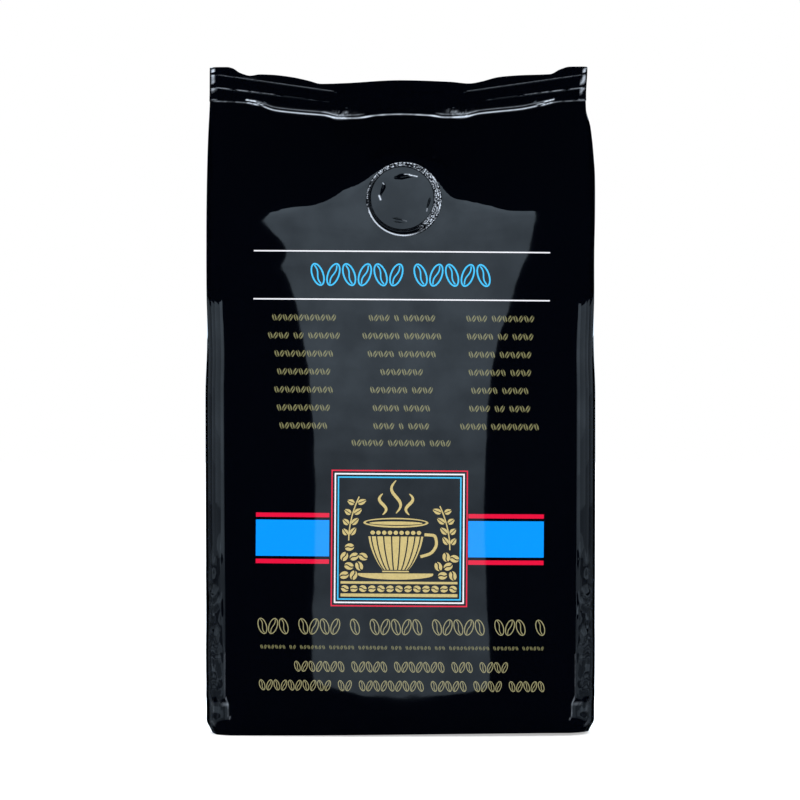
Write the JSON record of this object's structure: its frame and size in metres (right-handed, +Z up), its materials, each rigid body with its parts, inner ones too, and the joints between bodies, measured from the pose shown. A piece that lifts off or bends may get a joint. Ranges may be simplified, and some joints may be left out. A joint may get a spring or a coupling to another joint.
{
  "type": "coffee bag",
  "caption": "Shut side-gusset coffee bag of dark laminated film, filled and standing on its block bottom, with a crimped top seal and a welded degassing valve.",
  "frame": {"origin": "middle of the base the bag stands on", "axes": "+Z up the bag, towards the top seal; -Y is the printed front with the valve; +X to the right as seen from the front"},
  "size_m": [0.1002, 0.0599, 0.1727],
  "materials": {
    "film": "smooth glossy laminated film, blue-black",
    "valve_film": "glossy film over a welded disc, with a grained weld ring",
    "gold_ink": "printed pale gold under gloss film",
    "blue_ink": "printed bright blue under gloss film",
    "cyan_ink": "printed light blue under gloss film",
    "red_ink": "printed red under gloss film",
    "white_ink": "printed white under gloss film"
  },
  "bodies": {
    "root": {"bag": "film", "valve": "valve_film"}
  },
  "joints": []
}
